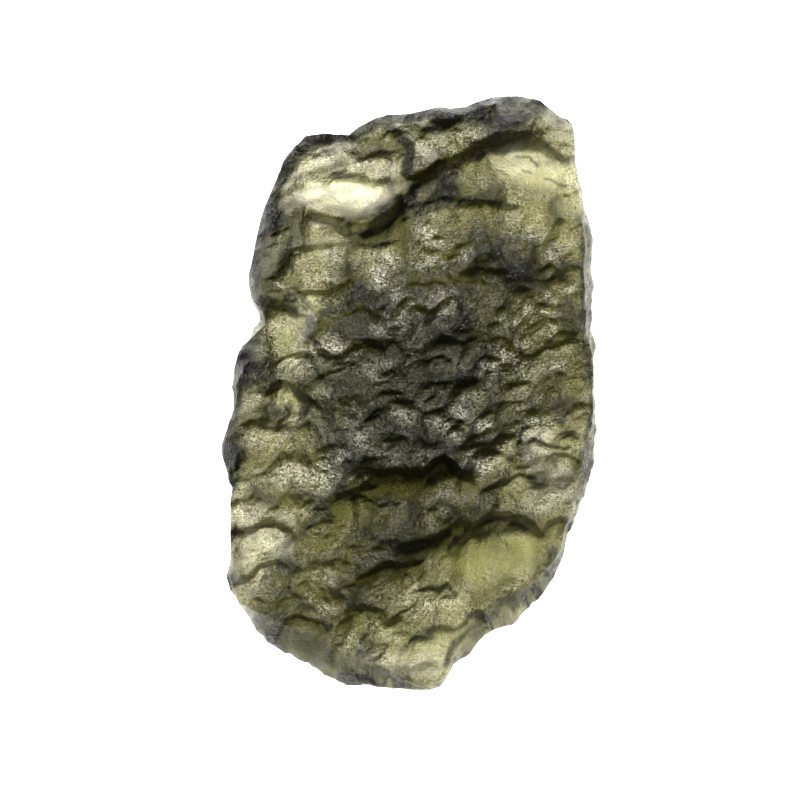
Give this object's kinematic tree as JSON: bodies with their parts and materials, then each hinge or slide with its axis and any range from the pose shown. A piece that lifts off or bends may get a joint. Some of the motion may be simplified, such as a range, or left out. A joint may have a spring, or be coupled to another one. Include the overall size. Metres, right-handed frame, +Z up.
{
  "type": "moldavite",
  "caption": "Natural green glass tektite, a flat slab with etch pits, flow ledges and thin glowing hollows, resting on a small flat spot.",
  "frame": {"origin": "on the surface the stone lies on, under the middle of its bounding box", "axes": "+Y along the stone's long side, towards its straight upper end; +Z up out of its broad pitted face; +X to the right of that face"},
  "size_m": [0.0214, 0.0339, 0.0085],
  "materials": {
    "moldavite_glass": "naturally etched, half matt, see-through olive green glass"
  },
  "bodies": {
    "root": {"moldavite": "moldavite_glass"}
  },
  "joints": []
}
